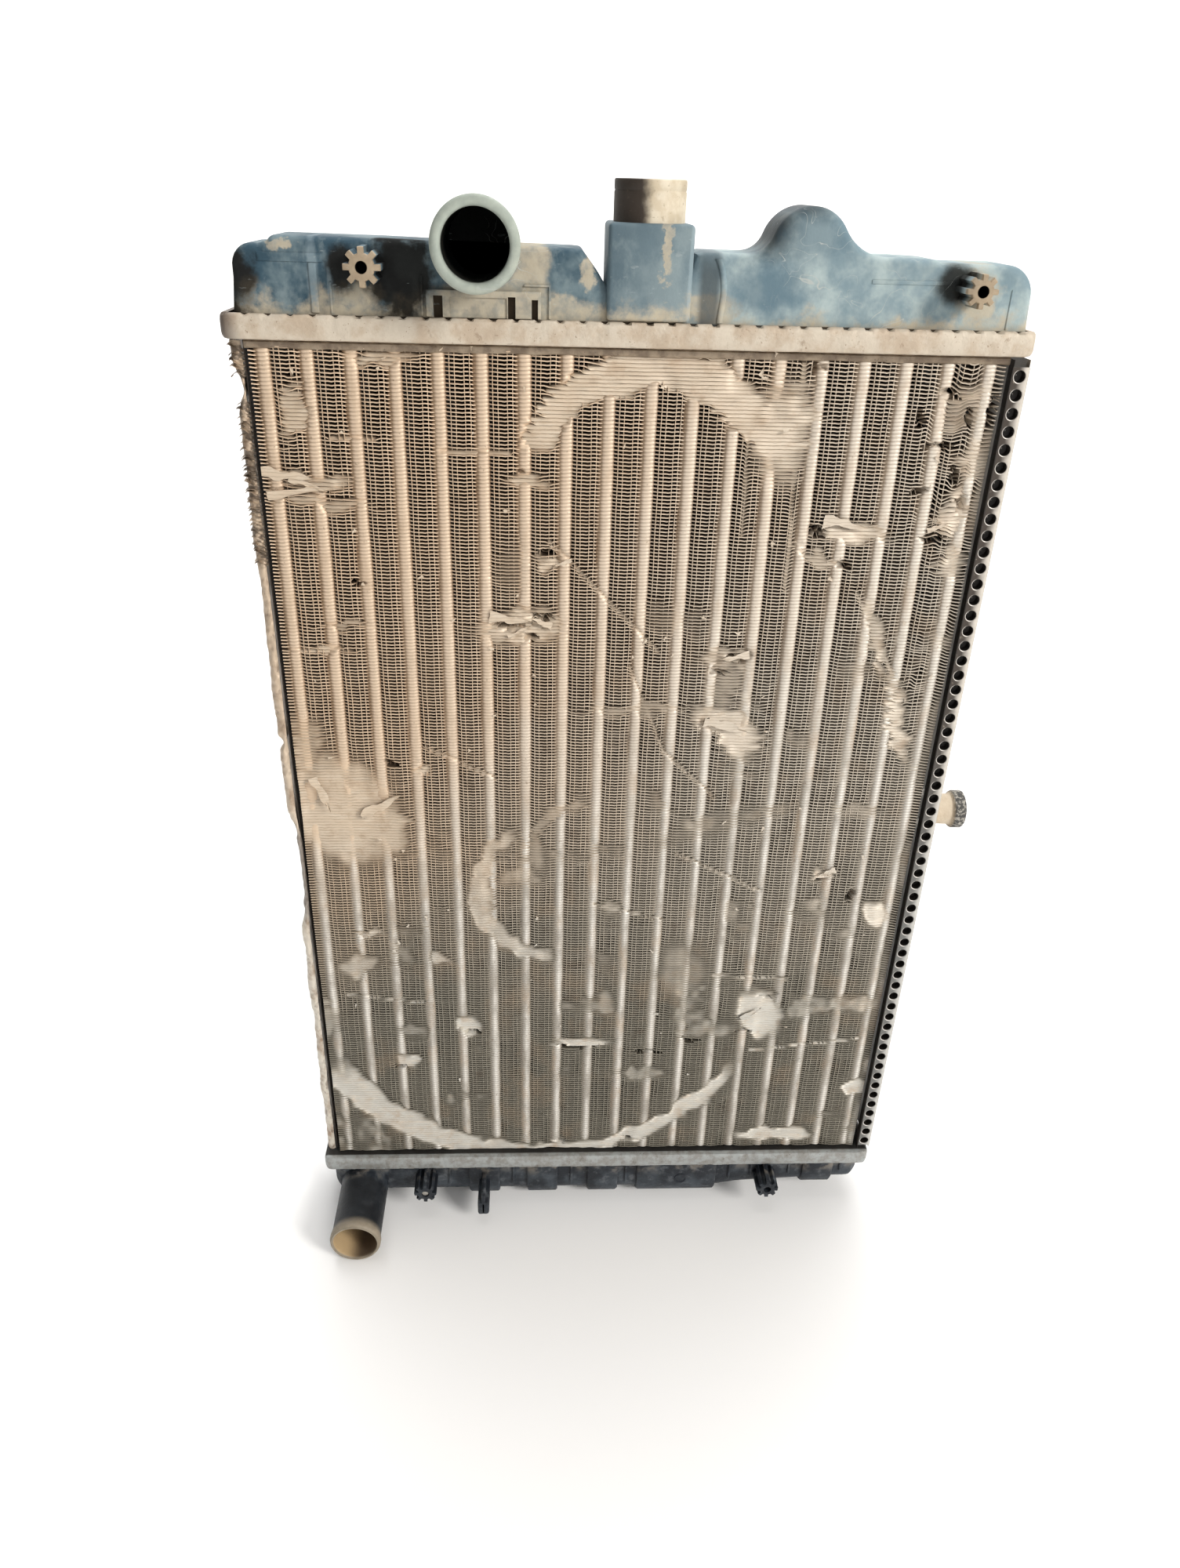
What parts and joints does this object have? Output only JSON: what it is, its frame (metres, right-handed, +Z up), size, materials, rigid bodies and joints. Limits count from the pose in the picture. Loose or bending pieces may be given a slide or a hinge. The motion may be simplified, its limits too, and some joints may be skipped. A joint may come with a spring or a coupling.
{
  "type": "car radiator",
  "caption": "Down-flow car radiator: plastic tanks crimped to a finned aluminium core, with hose necks, a filler neck, side plates and a mounting pin.",
  "frame": {"origin": "on the flat underside of the bottom tank's middle pad, at the middle of the core's width and depth", "axes": "+Z up from the bottom tank to the top tank, +X along the tanks towards the side pin, -Y the way the hose necks and shroud bosses point"},
  "size_m": [0.415, 0.0945, 0.662],
  "materials": {
    "tank_plastic": "faded, dusty",
    "filler_plastic": "dusty",
    "header_aluminium": "dull, dusty",
    "gasket_rubber": "matte",
    "fin_aluminium": "dusty, bent",
    "tube_aluminium": "dull",
    "plate_aluminium": "worn",
    "pin_steel": "dull",
    "bush_rubber": "matte",
    "rivet_aluminium": "dull",
    "screw_steel": "worn"
  },
  "bodies": {
    "root": {"top_tank": "tank_plastic", "bottom_tank": "tank_plastic", "filler_neck": "filler_plastic", "top_header": "header_aluminium", "bottom_header": "header_aluminium", "top_gasket": "gasket_rubber", "bottom_gasket": "gasket_rubber", "fin_pack": "fin_aluminium", "left_side_plate": "plate_aluminium", "right_side_plate": "plate_aluminium", "mount_pin": "pin_steel", "pin_bush": "bush_rubber", "pin_rivet_upper": "rivet_aluminium", "pin_rivet_lower": "rivet_aluminium", "shroud_screw": "screw_steel", "front_tube_1": "tube_aluminium", "front_tube_2": "tube_aluminium", "front_tube_3": "tube_aluminium", "front_tube_4": "tube_aluminium", "front_tube_5": "tube_aluminium", "front_tube_6": "tube_aluminium", "front_tube_7": "tube_aluminium", "front_tube_8": "tube_aluminium", "front_tube_9": "tube_aluminium", "front_tube_10": "tube_aluminium", "front_tube_11": "tube_aluminium", "front_tube_12": "tube_aluminium", "front_tube_13": "tube_aluminium", "front_tube_14": "tube_aluminium", "front_tube_15": "tube_aluminium", "front_tube_16": "tube_aluminium", "front_tube_17": "tube_aluminium", "front_tube_18": "tube_aluminium", "rear_tube_1": "tube_aluminium", "rear_tube_2": "tube_aluminium", "rear_tube_3": "tube_aluminium", "rear_tube_4": "tube_aluminium", "rear_tube_5": "tube_aluminium", "rear_tube_6": "tube_aluminium", "rear_tube_7": "tube_aluminium", "rear_tube_8": "tube_aluminium", "rear_tube_9": "tube_aluminium", "rear_tube_10": "tube_aluminium", "rear_tube_11": "tube_aluminium", "rear_tube_12": "tube_aluminium", "rear_tube_13": "tube_aluminium", "rear_tube_14": "tube_aluminium", "rear_tube_15": "tube_aluminium", "rear_tube_16": "tube_aluminium", "rear_tube_17": "tube_aluminium"}
  },
  "joints": []
}
